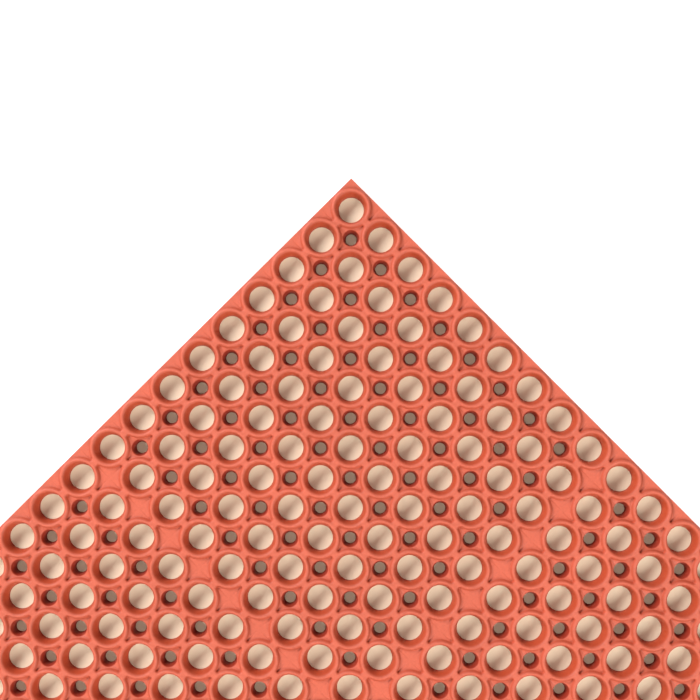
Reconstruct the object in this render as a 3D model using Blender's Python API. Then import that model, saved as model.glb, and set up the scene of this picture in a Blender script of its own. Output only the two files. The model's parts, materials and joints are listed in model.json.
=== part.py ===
"""Rubber drainage mat for standing work, moulded in one piece and able to roll up along its length.

The moulding is cut here into equal strips across its width, because a flexible sheet bends between
its rows of holes. Each strip turns on a fold line in the top plane of the mat, where it meets the
strip next to it, so the mat rolls up with its top side inwards.

Units are metres and +Z is up. X runs along the mat's length and Y along its width. The origin is at
the centre of the underside, on the floor.
"""

import math

import bmesh
import bpy

# Driving dimensions
FOOT = 0.3048
HOLES_PER_FOOT = 9
LENGTH_FEET = 3
WIDTH_FEET = 2
THICKNESS = FOOT / 24
HOLE_TOP_DIAMETER = 0.0280
HOLE_BOTTOM_DIAMETER = 0.0212
STRIP_COUNT = 9
STRIP_GAP = 0.0003

# Worked out from them
PITCH = FOOT / HOLES_PER_FOOT
ROWS_PER_STRIP = LENGTH_FEET * HOLES_PER_FOOT // STRIP_COUNT
HOLES_PER_ROW = WIDTH_FEET * HOLES_PER_FOOT
STRIP_SPACING = ROWS_PER_STRIP * PITCH
STRIP_LENGTH = STRIP_SPACING - STRIP_GAP
WIDTH = HOLES_PER_ROW * PITCH

# Shape settings
HOLE_SIDES = 8
CUTTER_OVERRUN = 0.002
SMOOTH_BELOW = math.radians(50)
RUBBER_COLOUR = (0.80, 0.16, 0.085, 1.0)
RUBBER_ROUGHNESS = 0.75


def clear_scene():
    for old in list(bpy.data.objects):
        bpy.data.objects.remove(old, do_unlink=True)


def rubber_material():
    rubber = bpy.data.materials.new("coral_rubber")
    rubber.use_nodes = True
    shader = rubber.node_tree.nodes["Principled BSDF"]
    shader.inputs["Base Color"].default_value = RUBBER_COLOUR
    shader.inputs["Roughness"].default_value = RUBBER_ROUGHNESS
    shader.inputs["Metallic"].default_value = 0.0
    rubber.diffuse_color = RUBBER_COLOUR
    return rubber


def add_to_scene(name, data, location=(0.0, 0.0, 0.0), parent=None):
    """An object, or an empty where data is None, placed relative to its parent."""
    added = bpy.data.objects.new(name, data)
    bpy.context.scene.collection.objects.link(added)
    added.parent = parent
    added.location = location
    return added


def mesh_from(name, shape):
    mesh = bpy.data.meshes.new(name)
    shape.to_mesh(mesh)
    shape.free()
    return mesh


def centred(index, count):
    """Place of one of several equally spaced things about zero, in spacings."""
    return index - (count - 1) / 2


def slab_mesh():
    """A plain bar of one strip's length across the whole width, standing on z = 0."""
    slab = bmesh.new()
    bmesh.ops.create_cube(slab, size=1.0)
    bmesh.ops.scale(slab, vec=(STRIP_LENGTH, WIDTH, THICKNESS), verts=slab.verts)
    bmesh.ops.translate(slab, vec=(0.0, 0.0, THICKNESS / 2), verts=slab.verts)
    return mesh_from("plain_slab", slab)


def add_hole_cone(cones, x, y):
    """One tapered cutter that runs past both faces of the slab and narrows downwards."""
    taper = (HOLE_TOP_DIAMETER - HOLE_BOTTOM_DIAMETER) / 2 / THICKNESS
    made = bmesh.ops.create_cone(
        cones,
        cap_ends=True,
        segments=HOLE_SIDES,
        radius1=HOLE_BOTTOM_DIAMETER / 2 - taper * CUTTER_OVERRUN,
        radius2=HOLE_TOP_DIAMETER / 2 + taper * CUTTER_OVERRUN,
        depth=THICKNESS + 2 * CUTTER_OVERRUN,
    )
    bmesh.ops.translate(cones, vec=(x, y, THICKNESS / 2), verts=made["verts"])


def hole_cutter():
    """All the tapered holes of one strip, on a square grid."""
    cones = bmesh.new()
    for row in range(ROWS_PER_STRIP):
        for column in range(HOLES_PER_ROW):
            x = centred(row, ROWS_PER_STRIP) * PITCH
            y = centred(column, HOLES_PER_ROW) * PITCH
            add_hole_cone(cones, x, y)
    cutter = add_to_scene("hole_cutter", mesh_from("hole_cutter", cones))
    cutter.hide_render = True
    cutter.display_type = "WIRE"
    return cutter


def perforated_mesh(rubber):
    """The mesh of one strip, shared by all of them: the slab with its holes cut through."""
    cutter = hole_cutter()
    blank = add_to_scene("blank", slab_mesh())
    cut = blank.modifiers.new("holes", "BOOLEAN")
    cut.operation = "DIFFERENCE"
    cut.solver = "EXACT"
    cut.object = cutter
    bpy.context.view_layer.update()
    evaluated = blank.evaluated_get(bpy.context.evaluated_depsgraph_get())
    strip = bpy.data.meshes.new_from_object(evaluated)
    strip.name = "perforated_strip"
    bpy.data.objects.remove(blank, do_unlink=True)
    bpy.data.objects.remove(cutter, do_unlink=True)
    strip.materials.clear()
    strip.materials.append(rubber)
    strip.shade_smooth()
    strip.set_sharp_from_angle(angle=SMOOTH_BELOW)
    return strip


def strip_x(number):
    """Middle of a strip along the mat, for numbers from 1 at the -X end."""
    return centred(number - 1, STRIP_COUNT) * STRIP_SPACING


def build_mat():
    """The middle strip lies still, and each half of the mat is a chain of strips that starts on it."""
    strip = perforated_mesh(rubber_material())
    middle = (STRIP_COUNT + 1) // 2
    add_to_scene(f"mat_strip_{middle}", strip)
    for side in (-1, 1):
        fold_line = None
        fold_x = 0.0
        for step in range(1, middle):
            number = middle + side * step
            x = strip_x(number) - side * STRIP_SPACING / 2
            z = THICKNESS if fold_line is None else 0.0
            fold_line = add_to_scene(f"fold_line_{number}", None, (x - fold_x, 0.0, z), fold_line)
            fold_x = x
            add_to_scene(f"mat_strip_{number}", strip, (strip_x(number) - x, 0.0, -THICKNESS), fold_line)


clear_scene()
build_mat()
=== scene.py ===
# Coral rubber drainage mat. One moulding with tapered drain holes in raised rings, small holes in the
# lower webs between them, and a plain web band after every nine holes. It bends across the fold lines.

import json
import math
import bmesh
import bpy
import numpy as np
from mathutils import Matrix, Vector

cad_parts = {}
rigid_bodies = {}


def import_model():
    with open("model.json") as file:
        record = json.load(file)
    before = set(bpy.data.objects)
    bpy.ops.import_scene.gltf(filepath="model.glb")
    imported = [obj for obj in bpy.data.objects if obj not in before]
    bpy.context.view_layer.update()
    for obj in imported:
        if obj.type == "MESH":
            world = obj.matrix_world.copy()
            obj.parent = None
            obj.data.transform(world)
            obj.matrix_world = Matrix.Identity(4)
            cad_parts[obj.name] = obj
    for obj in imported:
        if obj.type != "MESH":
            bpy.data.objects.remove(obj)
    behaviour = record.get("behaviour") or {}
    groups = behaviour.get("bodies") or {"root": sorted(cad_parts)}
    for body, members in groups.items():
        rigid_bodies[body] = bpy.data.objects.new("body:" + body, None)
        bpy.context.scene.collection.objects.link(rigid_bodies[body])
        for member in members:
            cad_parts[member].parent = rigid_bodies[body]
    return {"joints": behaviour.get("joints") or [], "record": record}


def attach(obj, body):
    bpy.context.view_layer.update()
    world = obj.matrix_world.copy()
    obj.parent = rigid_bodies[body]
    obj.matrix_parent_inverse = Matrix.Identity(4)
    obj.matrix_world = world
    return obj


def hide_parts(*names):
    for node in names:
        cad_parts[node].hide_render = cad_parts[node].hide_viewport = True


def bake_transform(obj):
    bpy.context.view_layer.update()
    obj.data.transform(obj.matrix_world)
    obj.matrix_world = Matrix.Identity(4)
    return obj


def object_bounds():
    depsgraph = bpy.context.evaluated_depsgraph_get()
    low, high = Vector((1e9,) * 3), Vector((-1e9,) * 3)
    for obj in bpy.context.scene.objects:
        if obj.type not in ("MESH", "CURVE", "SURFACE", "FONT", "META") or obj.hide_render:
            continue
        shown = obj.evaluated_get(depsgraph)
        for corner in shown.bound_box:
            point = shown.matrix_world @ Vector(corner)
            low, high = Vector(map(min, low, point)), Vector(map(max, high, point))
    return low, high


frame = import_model()
cadLow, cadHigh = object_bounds()

mat = {
    "holesAlong": 27,  # along X, the way it rolls up
    "holesAcross": 18,  # along Y
    "holesPerBand": 9,  # a band without small holes follows every nine
    "weldStep": 1e-6,  # two points closer than this are one
    "hardEdge": 60,  # degrees, the shading breaks at an edge sharper than this
    "bendShare": 0.25,  # how much of a strip bends at each side of a fold line
}
pitch = (cadHigh.y - cadLow.y) / mat["holesAcross"]
halfPitch = pitch / 2
topHeight = cadHigh.z

# Section of the mat from the middle of a large hole outwards: radius and height of each rail in mm.
# The web between the rings lies lower than the ring tops.
section = {
    "holeWall": [(10.35, 0.0), (10.05, 0.35), (10.85, 4.8), (11.75, 9.0), (12.35, 11.0), (13.1, 12.2)],
    "crest": (14.1, 12.7),
    "ringWall": [(14.85, 12.5), (15.35, 12.1), (15.8, 11.4), (16.3, 10.5), (16.65, 10.05), (17.0, 9.9)],
    "webHeight": 9.9,
    "cuspSink": 0.6,  # how far the tips of a pocket lie below its web
    "smallHole": [(6.9, 9.9), (6.5, 9.55), (6.15, 8.7), (5.75, 6.8), (4.45, 0.35), (4.7, 0.0)],
    "solidWeb": 3.6,  # radius of the one rail on a web without a small hole
    "undersideRail": 14.85,
    "saddleHeight": 12.36,  # between two rings that touch
    "saddleAngle": 7.5,  # degrees, how far round the ring they touch
    "crestFall": 1.6,  # how round the crest is on its outer side
    "cuspCentre": 4.8,  # how far the rounded corner of a pocket is from the line between two rings
    "edgeLip": 0.45,  # what a ring at the border leaves of the web
    "lipStep": 0.05,  # between two rails of such a ring
}
slices = {"saddle": 2, "cusp": 3, "arc": 4}  # steps round an eighth of a ring
slices["all"] = slices["saddle"] + slices["cusp"] + slices["arc"]


def mm(value):
    return value / 1000


hair = mm(0.01)  # what lies closer than this to a plane is on it


def lerp(a, b, share):
    return a + (b - a) * share


def polar(radius, angle):
    return np.array([radius * math.cos(angle), radius * math.sin(angle)])


corner = np.array([halfPitch, halfPitch]) * 1000  # middle of the web between four rings, in mm
side = halfPitch * 1000
cuspReach = math.hypot(side, section["cuspCentre"])
cuspAngle = math.atan2(section["cuspCentre"], side)
saddleAngle = math.radians(section["saddleAngle"])


def sliceAngle(step):
    # direction of a rail point as seen from the middle of the ring
    if step <= slices["saddle"]:
        return saddleAngle * step / slices["saddle"]
    step -= slices["saddle"]
    if step <= slices["cusp"]:
        return lerp(saddleAngle, cuspAngle, step / slices["cusp"])
    return lerp(cuspAngle, math.pi / 4, (step - slices["cusp"]) / slices["arc"])


def outlinePoint(step, radius):
    # the ring's outer side: an arc round the hole, then the rounded corner of the pocket,
    # then the straight line where it meets the next ring
    cuspRadius = cuspReach - radius
    if step > slices["saddle"] + slices["cusp"]:
        return polar(radius, sliceAngle(step))
    if step >= slices["saddle"]:
        share = (step - slices["saddle"]) / slices["cusp"]
        turn = lerp(-math.pi / 2, -math.pi + cuspAngle, share)
        return np.array([side, section["cuspCentre"]]) + polar(cuspRadius, turn)
    return np.array([side, (section["cuspCentre"] - cuspRadius) * step / slices["saddle"]])


def smallHolePoint(step, radius):
    share = (step - slices["saddle"]) / (slices["cusp"] + slices["arc"])
    return corner + polar(radius, lerp(-math.pi / 2, -math.pi * 3 / 4, share))


def edgePoint(step):
    return np.array([side, side * math.tan(sliceAngle(step))])


def circleRail(radius, height):
    return [(*polar(radius, sliceAngle(step)), height) for step in range(slices["all"] + 1)]


class Patch:
    # points and faces of one eighth of a ring's square, as rails that share their steps
    def __init__(self):
        self.points = []
        self.faces = []

    def rail(self, places):
        first = len(self.points)
        self.points += [tuple(float(v) for v in place) for place in places]
        return list(range(first, len(self.points)))

    def strip(self, inner, outer):
        for k in range(len(inner) - 1):
            quad = [inner[k], outer[k], outer[k + 1], inner[k + 1]]
            self.faces.append(quad)

    def fan(self, ring, tip):
        for k in range(len(ring) - 1):
            self.faces.append([ring[k], tip, ring[k + 1]])


def ringPatch(kind):
    # kind: "drained" has a small hole at its corner and "solid" a plain web, and "border" ends at the
    # mat's edge
    patch = Patch()
    border = kind == "border"
    steps = range(slices["all"] + 1)
    wall = [patch.rail(circleRail(r, z)) for r, z in section["holeWall"]]
    crest = patch.rail(circleRail(*section["crest"]))
    rails = wall + [crest]
    firstRadius, firstHeight = section["ringWall"][0]
    lipStep = section["lipStep"]
    lipStart = section["edgeLip"] + lipStep * len(section["ringWall"])

    def outerRail(number, radius, height):
        places = []
        for step in steps:
            if border:
                room = side / math.cos(sliceAngle(step)) - lipStart + lipStep * number
                xy = polar(min(radius, room), sliceAngle(step))
                sink = 0
            else:
                xy = outlinePoint(step, radius)
                tipShare = min(1, max(0, 1 - (step - slices["saddle"]) / slices["cusp"]))
                sink = section["cuspSink"] * tipShare * (number / (len(section["ringWall"]) - 1)) ** 2
            places.append((*xy, height - sink))
        return places

    outline = outerRail(0, firstRadius, firstHeight)
    if not border:
        for step in range(slices["saddle"] + slices["cusp"]):
            share = max(0.0, (step - slices["saddle"]) / slices["cusp"])
            outline[step] = (*outline[step][:2], lerp(section["saddleHeight"], firstHeight, share))
    landRails = []
    for share in (1 / 3, 2 / 3):
        places = []
        for step in steps:
            start = np.array(patch.points[crest[step]])
            end = np.array(outline[step])
            place = lerp(start, end, share)
            drop = start[2] - end[2]
            if step <= slices["saddle"] and not border:
                place[2] = start[2] - drop * share * share * (3 - 2 * share)
            else:
                place[2] = start[2] - drop * share ** section["crestFall"]
            places.append(place)
        landRails.append(patch.rail(places))
    rails += landRails
    rails.append(patch.rail(outline))
    for inner, outer in zip(rails, rails[1:]):
        patch.strip(inner, outer)

    # down the ring's outer side, where there is one
    fromStep = 0 if border else slices["saddle"]
    last = rails[-1][fromStep:]
    for number, (radius, height) in enumerate(section["ringWall"][1:], 1):
        below = patch.rail(outerRail(number, radius, height)[fromStep:])
        patch.strip(last, below)
        last = below

    # the web, and what is in the middle of it
    if kind == "drained":
        for radius, height in section["smallHole"]:
            below = patch.rail([(*smallHolePoint(s, radius), height) for s in steps[fromStep:]])
            patch.strip(last, below)
            last = below
        bottomHole = last
    elif kind == "solid":
        radius = section["solidWeb"]
        web = patch.rail([(*smallHolePoint(s, radius), section["webHeight"]) for s in steps[fromStep:]])
        patch.strip(last, web)
        tip = patch.rail([(*corner, section["webHeight"])])[0]
        patch.fan(web, tip)
    else:
        cornerReach = side * math.sqrt(2)
        midShare = 1 - section["solidWeb"] / (cornerReach - section["ringWall"][-1][0])
        middle = []
        rim = []
        for k, step in enumerate(steps):
            start = np.array(patch.points[last[k]])
            end = np.array((*edgePoint(step), section["webHeight"]))
            middle.append(lerp(start, end, midShare))
            rim.append(end)
        webMiddle = patch.rail(middle)
        webRim = patch.rail(rim)
        foot = patch.rail([(*edgePoint(step), 0.0) for step in steps])
        patch.strip(last, webMiddle)
        patch.strip(webMiddle, webRim)
        patch.strip(webRim, foot)

    # the flat underside
    if border:
        under = patch.rail(circleRail(section["undersideRail"], 0.0))
        patch.strip(foot, under)
    else:
        under = patch.rail([(*outlinePoint(s, section["undersideRail"]), 0.0) for s in steps])
        if kind == "drained":
            patch.strip(bottomHole, under[fromStep:])
        else:
            tip = patch.rail([(*corner, 0.0)])[0]
            patch.fan(list(reversed(under[fromStep:])), tip)
    patch.strip(under, wall[0])
    points = np.array(patch.points) / 1000
    quads = np.array([face + [-1] * (4 - len(face)) for face in patch.faces])
    return points, quads


patches = {kind: ringPatch(kind) for kind in ("drained", "solid", "border")}
print("ring patches:", {kind: len(quads) for kind, (points, quads) in patches.items()}, "faces")

# the eight ways an eighth of a ring is turned and mirrored: what local x and y become
eighths = []
for alongX, alongY in ((1, 1), (1, -1), (-1, 1), (-1, -1)):
    eighths.append(((alongX, 0), (0, alongY)))
    eighths.append(((0, alongY), (alongX, 0)))

outerEnd = mat["holesAlong"] * halfPitch


def holePlace(row, column):
    x = (row - (mat["holesAlong"] - 1) / 2) * pitch
    y = (column - (mat["holesAcross"] - 1) / 2) * pitch
    return x, y


def patchKind(row, column, facing, cornerSide):
    # what lies in the direction an eighth faces, and at its corner
    nextRow, nextColumn = row + facing[0], column + facing[1]
    if not (0 <= nextRow < mat["holesAlong"] and 0 <= nextColumn < mat["holesAcross"]):
        return "border"
    cornerRow = row + (cornerSide[0] + 1) // 2
    cornerColumn = column + (cornerSide[1] + 1) // 2
    onBand = cornerRow % mat["holesPerBand"] == 0 or cornerColumn % mat["holesPerBand"] == 0
    return "solid" if onBand else "drained"


def gatherFaces(low, high):
    # points and faces of the mat between two planes across it, as loose eighths
    allPoints = []
    allFaces = []
    count = 0
    for row in range(mat["holesAlong"]):
        for column in range(mat["holesAcross"]):
            x, y = holePlace(row, column)
            if x + halfPitch <= low or x - halfPitch >= high:
                continue
            for xTurn, yTurn in eighths:
                facing = xTurn
                cornerSide = (xTurn[0] + yTurn[0], xTurn[1] + yTurn[1])
                middle = x + cornerSide[0] * halfPitch / 2
                if not low < middle < high:
                    continue
                points, faces = patches[patchKind(row, column, facing, cornerSide)]
                turned = points.copy()
                turned[:, 0] = points[:, 0] * xTurn[0] + points[:, 1] * yTurn[0] + x
                turned[:, 1] = points[:, 0] * xTurn[1] + points[:, 1] * yTurn[1] + y
                mirrored = xTurn[0] * yTurn[1] - xTurn[1] * yTurn[0] < 0
                moved = np.where(faces < 0, -1, faces + count)
                if mirrored:
                    isQuad = moved[:, 3] >= 0
                    moved[isQuad] = moved[isQuad][:, ::-1]
                    moved[~isQuad, :3] = moved[~isQuad][:, 2::-1]
                allPoints.append(turned)
                allFaces.append(moved)
                count += len(points)
    return np.concatenate(allPoints), np.concatenate(allFaces)


def weld(points, faces):
    # one point where eighths meet
    keys = np.round(points / mat["weldStep"]).astype(np.int64)
    unique, firstSeen, index = np.unique(keys, axis=0, return_index=True, return_inverse=True)
    index = np.append(index.reshape(-1), -1)
    return points[firstSeen], index[faces]


def closeEnds(mesh, planes):
    # fills the cut across the mat at each plane, so that every piece is a closed body
    shape = bmesh.new()
    shape.from_mesh(mesh)
    openEdges = [edge for edge in shape.edges if edge.is_boundary]
    filled = bmesh.ops.holes_fill(shape, edges=openEdges, sides=0)["faces"]
    for face in filled:
        face.smooth = False
        middle = face.calc_center_median()
        outward = -1 if abs(middle.x - planes[0]) < abs(middle.x - planes[1]) else 1
        face.normal_update()
        if face.normal.x * outward < 0:
            face.normal_flip()
    shape.to_mesh(mesh)
    shape.free()
    return len(filled)


def sharpenUnderside(mesh):
    # the underside is flat right up to the holes and the sides
    shape = bmesh.new()
    shape.from_mesh(mesh)
    for edge in shape.edges:
        if max(vertex.co.z for vertex in edge.verts) < hair and len(edge.link_faces) == 2:
            if any(max(vertex.co.z for vertex in face.verts) > hair for face in edge.link_faces):
                edge.smooth = False
    shape.to_mesh(mesh)
    shape.free()


def straightenSeam(mesh, planes):
    # the mat is alike on both sides of a cut, so shading runs straight across it
    corners = np.zeros(len(mesh.loops) * 3, np.float32)
    mesh.corner_normals.foreach_get("vector", corners)
    corners = corners.reshape(-1, 3)
    place = np.zeros(len(mesh.vertices) * 3, np.float32)
    mesh.vertices.foreach_get("co", place)
    across = place.reshape(-1, 3)[:, 0]
    owner = np.zeros(len(mesh.loops), np.int32)
    mesh.loops.foreach_get("vertex_index", owner)
    onCut = np.min([np.abs(across[owner] - plane) for plane in planes], axis=0) < hair
    surface = np.abs(corners[:, 0]) < 0.7  # and not the cut face
    corners[onCut & surface, 0] = 0
    corners /= np.maximum(np.linalg.norm(corners, axis=1), 1e-9)[:, None]
    mesh.normals_split_custom_set(corners.tolist())


# Painted shade down the steep sides and in the small holes, and rub wear with a painted highlight on
# the ring tops.
shadeAndWear = {
    "steepness": 1.3,  # how soon a slope counts as a steep side
    "rubAndHighlightFrom": 0.9,  # soles rub the part above this share of the mat's height, which also gets a painted highlight
    # painted shade lies below this share of the mat's height
    "paintedShadeBelow": 0.97,
    "paintedShadeFade": 0.15,
    "outerSkin": 0.5,  # mm, the mat's outer sides get none of the painted shade
    "smallHoleShadeFade": 0.7,  # mm, painted shade in a small hole, fading in from its rim inwards
}


def addRestData(mesh):
    # for the rubber's nodes: where each point lies while the mat is flat, how much soles rub it and how
    # much painted highlight it gets, how much painted shade it gets down a steep side, and how much
    # painted shade it gets in a small hole
    place = np.zeros(len(mesh.vertices) * 3, np.float32)
    mesh.vertices.foreach_get("co", place)
    flat = mesh.attributes.new("flatPlace", "FLOAT_VECTOR", "POINT")
    flat.data.foreach_set("vector", place)
    place = place.reshape(-1, 3)
    height = place[:, 2] / topHeight
    upward = np.zeros(len(mesh.vertices) * 3, np.float32)
    mesh.vertex_normals.foreach_get("vector", upward)
    outline = np.array([outerEnd, cadHigh.y]) - mm(shadeAndWear["outerSkin"])
    plain = (np.abs(place[:, :2]) > outline).any(axis=1) | (height < 0.001)
    # painted shade down the steep sides
    steep = np.clip((1 - np.abs(upward.reshape(-1, 3)[:, 2])) * shadeAndWear["steepness"], 0, 1)
    steep[plain] = 0
    # rub wear and a painted highlight on the ring tops
    rubbedAndHighlit = np.clip((height - shadeAndWear["rubAndHighlightFrom"]) / (1 - shadeAndWear["rubAndHighlightFrom"]), 0, 1)
    paintedShade = steep * np.clip((shadeAndWear["paintedShadeBelow"] - height) / shadeAndWear["paintedShadeFade"], 0, 1)
    # painted shade in the small holes
    fromWeb = place[:, :2] / pitch - [0.5, 0.0]
    fromWeb = np.linalg.norm(fromWeb - np.round(fromWeb), axis=1) * pitch
    rim = section["smallHole"][0][0]
    smallHoleShade = np.clip((mm(rim) - fromWeb) / mm(shadeAndWear["smallHoleShadeFade"]), 0, 1)
    smallHoleShade *= height < shadeAndWear["paintedShadeBelow"] * section["webHeight"] / section["crest"][1]
    smallHoleShade[plain] = 0
    for name, values in (("rubbedAndHighlit", rubbedAndHighlit), ("paintedShade", paintedShade), ("smallHoleShade", smallHoleShade)):
        attribute = mesh.attributes.new(name, "FLOAT", "POINT")
        attribute.data.foreach_set("value", values.astype(np.float32))


def matPiece(name, low, high, rubber):
    points, faces = weld(*gatherFaces(low, high))
    mesh = bpy.data.meshes.new(name)
    isQuad = faces[:, 3] >= 0
    flatList = [list(face) for face in faces[isQuad]] + [list(face[:3]) for face in faces[~isQuad]]
    mesh.from_pydata(points.tolist(), [], flatList)
    closed = closeEnds(mesh, (low, high))
    mesh.shade_smooth()
    mesh.set_sharp_from_angle(angle=math.radians(mat["hardEdge"]))
    sharpenUnderside(mesh)
    addRestData(mesh)
    straightenSeam(mesh, (low, high))
    mesh.materials.append(rubber)
    piece = bpy.data.objects.new(name, mesh)
    bpy.context.scene.collection.objects.link(piece)
    print(name, len(mesh.polygons), "faces,", closed, "end faces")
    return piece


rubberLook = {
    "colour": (0.445, 0.083, 0.041),
    "paintedShadeColour": (0.38, 0.047, 0.012),  # painted shade down the steep sides
    "smallHoleShadeColour": (0.26, 0.022, 0.007),  # painted shade down the small holes
    "rubbedHighlightColour": (0.46, 0.089, 0.046),  # on the ring tops: rub wear and a painted highlight
    "rubAndHighlightScale": 260.0,
    "blotch": 0.06,  # how much the colour varies across the mat
    "blotchScale": 9.0,
    "mottle": 0.06,  # and from one millimetre to the next
    "mottleScale": 520.0,
    "specular": 0.35,
    "roughness": 0.62,
    "glossSpread": 0.09,  # how much the roughness varies
    "glossScale": 90.0,
    "bumpDepth": 0.00006,  # of the mould grain
    "grainScale": 1400.0,
    "coarseGrain": 5,  # a second grain is this many times larger
    "fineShare": 0.6,  # weight of the fine grain against the coarse one
}


def rubberMaterial():
    look = rubberLook
    rubber = bpy.data.materials.new("coralRubber")
    rubber.use_nodes = True
    tree = rubber.node_tree
    nodes, links = tree.nodes, tree.links
    shader = nodes["Principled BSDF"]
    shader.inputs["IOR"].default_value = 1.5
    shader.inputs["Specular IOR Level"].default_value = look["specular"]

    def node(kind, **values):
        made = nodes.new(kind)
        for key, value in values.items():
            setattr(made, key, value)
        return made

    def noise(scale, detail, rough):
        made = node("ShaderNodeTexNoise")
        made.inputs["Scale"].default_value = scale
        made.inputs["Detail"].default_value = detail
        made.inputs["Roughness"].default_value = rough
        links.new(place.outputs["Vector"], made.inputs["Vector"])
        return made.outputs["Fac"]

    def spread(source, toLow, toHigh):
        # a noise lies mostly between 0.3 and 0.7
        made = node("ShaderNodeMapRange")
        for key, value in (("From Min", 0.3), ("From Max", 0.7), ("To Min", toLow), ("To Max", toHigh)):
            made.inputs[key].default_value = value
        links.new(source, made.inputs["Value"])
        return made.outputs["Result"]

    def around(source, middle, reach):
        return spread(source, middle - reach, middle + reach)

    def mixColour(share, a, b):
        made = node("ShaderNodeMix", data_type="RGBA")
        for socket, value in (("Factor", share), (6, a), (7, b)):
            target = made.inputs[socket]
            if isinstance(value, bpy.types.NodeSocket):
                links.new(value, target)
            elif isinstance(value, tuple):
                target.default_value = (*value, 1.0)
            else:
                target.default_value = value
        return made.outputs[2]

    place = node("ShaderNodeAttribute", attribute_name="flatPlace")
    rubbedAndHighlit = node("ShaderNodeAttribute", attribute_name="rubbedAndHighlit").outputs["Fac"]
    paintedShade = node("ShaderNodeAttribute", attribute_name="paintedShade").outputs["Fac"]

    # even moulded colour, with painted shade down the steep sides and in the small holes, and paler
    # where soles rub the ring tops, which also paints a highlight there
    base = mixColour(paintedShade, look["colour"], look["paintedShadeColour"])
    # painted shade in the small holes
    smallHoleShade = node("ShaderNodeAttribute", attribute_name="smallHoleShade").outputs["Fac"]
    base = mixColour(smallHoleShade, base, look["smallHoleShadeColour"])
    # rub wear and a painted highlight on the ring tops
    patchy = noise(look["rubAndHighlightScale"], 4.0, 0.6)
    rubAndHighlightShare = node("ShaderNodeMath", operation="MULTIPLY")
    links.new(rubbedAndHighlit, rubAndHighlightShare.inputs[0])
    links.new(spread(patchy, 0.45, 1.0), rubAndHighlightShare.inputs[1])
    wornAndHighlit = mixColour(rubAndHighlightShare.outputs[0], base, look["rubbedHighlightColour"])
    blotch = around(noise(look["blotchScale"], 5.0, 0.55), 1, look["blotch"])
    shade = node("ShaderNodeVectorMath", operation="SCALE")
    links.new(wornAndHighlit, shade.inputs[0])
    mottle = around(noise(look["mottleScale"], 3.0, 0.6), 1, look["mottle"])
    unevenness = node("ShaderNodeMath", operation="MULTIPLY")
    links.new(blotch, unevenness.inputs[0])
    links.new(mottle, unevenness.inputs[1])
    links.new(unevenness.outputs[0], shade.inputs["Scale"])
    links.new(shade.outputs[0], shader.inputs["Base Color"])

    # talc bloom and rub marks change the gloss a little
    gloss = around(noise(look["glossScale"], 6.0, 0.65), look["roughness"], look["glossSpread"])
    links.new(gloss, shader.inputs["Roughness"])

    # mould grain
    fine = noise(look["grainScale"], 3.0, 0.6)
    coarse = noise(look["grainScale"] / look["coarseGrain"], 4.0, 0.55)
    grain = node("ShaderNodeMath", operation="MULTIPLY_ADD")
    grain.inputs[1].default_value = look["fineShare"]
    links.new(fine, grain.inputs[0])
    links.new(coarse, grain.inputs[2])
    bump = node("ShaderNodeBump")
    bump.inputs["Distance"].default_value = look["bumpDepth"]
    bump.inputs["Strength"].default_value = 1.0
    links.new(grain.outputs[0], bump.inputs["Height"])
    links.new(bump.outputs["Normal"], shader.inputs["Normal"])
    return rubber


# Pieces: each bend runs from the middle of one strip to the middle of the next, across their fold
# line, and the two end pieces ride on the first and the last strip.
rubber = rubberMaterial()
joints = sorted(frame["joints"], key=lambda joint: joint["pos_m"][0])
foldLines = [joint["pos_m"][0] for joint in joints]
stripLength = foldLines[1] - foldLines[0]
firstMiddle = foldLines[0] - stripLength / 2


def nodesOf(body):
    return frame["record"]["behaviour"]["bodies"][body]


for number, joint in enumerate(joints):
    bodies = sorted((joint["parent"], joint["child"]))
    low = firstMiddle + number * stripLength
    bend = matPiece(f"mat_bend_{number + 1}", low, low + stripLength, rubber)
    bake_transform(bend)
    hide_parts(*nodesOf(bodies[0]), *nodesOf(bodies[1]))
    if number == 0:
        nearEnd = matPiece("mat_end_near", -outerEnd, low, rubber)
        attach(nearEnd, bodies[0])
        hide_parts(*nodesOf(bodies[0]))
    if number == len(joints) - 1:
        farEnd = matPiece("mat_end_far", low + stripLength, outerEnd, rubber)
        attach(farEnd, bodies[1])
        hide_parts(*nodesOf(bodies[1]))
print("mat pieces done")

# A white floor, and a cream sheet under the mat that shows through the holes.
floorLook = {"size": 6.0, "drop": 0.0002, "colour": (0.93, 0.92, 0.91), "roughness": 0.6}
sheetLook = {"inset": 0.003, "drop": 0.00004, "colour": (0.80, 0.72, 0.51), "roughness": 0.7}


def layFlat(name, halfX, halfY, look):
    mesh = bpy.data.meshes.new(name)
    corners = [(-halfX, -halfY, 0), (halfX, -halfY, 0), (halfX, halfY, 0), (-halfX, halfY, 0)]
    mesh.from_pydata(corners, [], [(0, 1, 2, 3)])
    paint = bpy.data.materials.new(name)
    paint.use_nodes = True
    shader = paint.node_tree.nodes["Principled BSDF"]
    shader.inputs["Base Color"].default_value = (*look["colour"], 1.0)
    shader.inputs["Roughness"].default_value = look["roughness"]
    mesh.materials.append(paint)
    flat = bpy.data.objects.new(name, mesh)
    flat.location.z = -look["drop"]
    bpy.context.scene.collection.objects.link(flat)


layFlat("paleFloor", floorLook["size"] / 2, floorLook["size"] / 2, floorLook)
layFlat("creamSheet", outerEnd - sheetLook["inset"], cadHigh.y - sheetLook["inset"], sheetLook)

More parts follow.
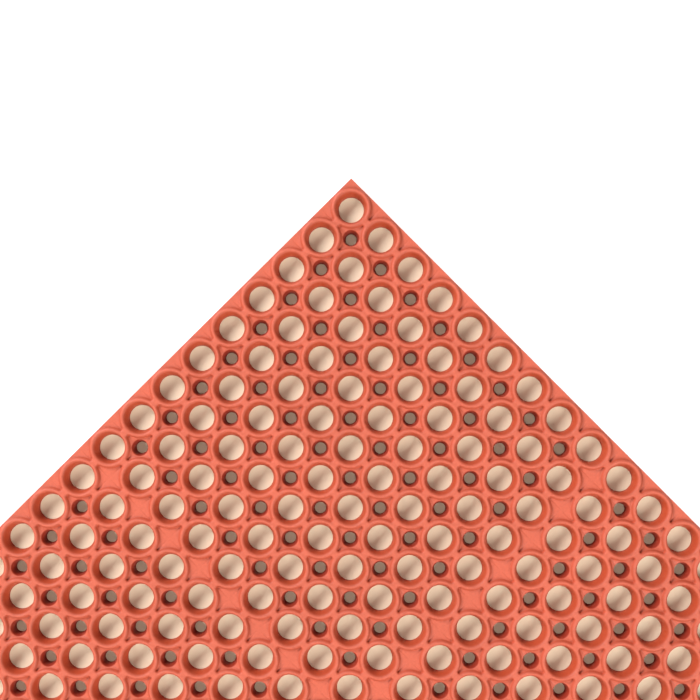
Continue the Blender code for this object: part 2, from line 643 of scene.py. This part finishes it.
# Soft boxes: where each stands round the mat's corner, its size and its power.
lampSetup = {
    "keyBox": {
        "azimuth": 92,
        "elevation": 34,
        "distance": 3.2,
        "size": 1.2,
        "power": 152,
        "colour": (1, 1.02, 1.1),  # a little cooler than the others
    },
    "fillBox": {"azimuth": -89, "elevation": 34, "distance": 3.2, "size": 1.2, "power": 102},
    "sideBox": {"azimuth": 184, "elevation": 36, "distance": 3.2, "size": 1.3, "power": 58},
    "topBox": {"azimuth": 0, "elevation": 89.9, "distance": 3.2, "size": 1.2, "power": 20},
}
worldLight = {"colour": (1.0, 1.0, 1.0), "strength": 0.06}
lampAim = {"inset": 0.13}  # the lamps face a point this far inside the mat's corner
aimPoint = Vector((cadHigh.x - lampAim["inset"], cadHigh.y - lampAim["inset"], 0.0))


def addLamps():
    for name, lamp in lampSetup.items():
        light = bpy.data.lights.new(name, "AREA")
        light.shape = "DISK"
        light.size = lamp["size"]
        light.energy = lamp["power"]
        light.color = lamp.get("colour", (1, 1, 1))
        holder = bpy.data.objects.new(name, light)
        azimuth = math.radians(lamp["azimuth"])
        elevation = math.radians(lamp["elevation"])
        outward = Vector((math.cos(azimuth), math.sin(azimuth), 0.0)) * math.cos(elevation)
        outward.z = math.sin(elevation)
        holder.location = aimPoint + outward * lamp["distance"]
        holder.rotation_euler = (-outward).to_track_quat("-Z", "Y").to_euler()
        bpy.context.scene.collection.objects.link(holder)
    world = bpy.data.worlds.new("studio")
    world.use_nodes = True
    sky = world.node_tree.nodes["Background"]
    sky.inputs["Color"].default_value = (*worldLight["colour"], 1.0)
    sky.inputs["Strength"].default_value = worldLight["strength"]
    bpy.context.scene.world = world


addLamps()

# The camera looks almost straight down on one corner of the mat, with that corner up.
cameraSetup = {
    "insetX": 0.1223,  # from the mat's far corner
    "insetY": 0.1299,
    "height": 0.8777,
    "turn": (0.769, 0.382, -44.806),  # degrees
    "lens": 56.06,
    "shiftUp": 0.0530,
}


def addCamera():
    lens = bpy.data.cameras.new("camera")
    lens.lens = cameraSetup["lens"]
    lens.sensor_width = 36.0
    lens.shift_y = cameraSetup["shiftUp"]
    lens.clip_start = 0.01
    lens.clip_end = 50.0
    camera = bpy.data.objects.new("camera", lens)
    camera.location = (
        outerEnd - cameraSetup["insetX"],
        cadHigh.y - cameraSetup["insetY"],
        cameraSetup["height"],
    )
    camera.rotation_euler = [math.radians(angle) for angle in cameraSetup["turn"]]
    bpy.context.scene.collection.objects.link(camera)
    bpy.context.scene.camera = camera


addCamera()
bpy.context.scene.view_settings.view_transform = "Standard"
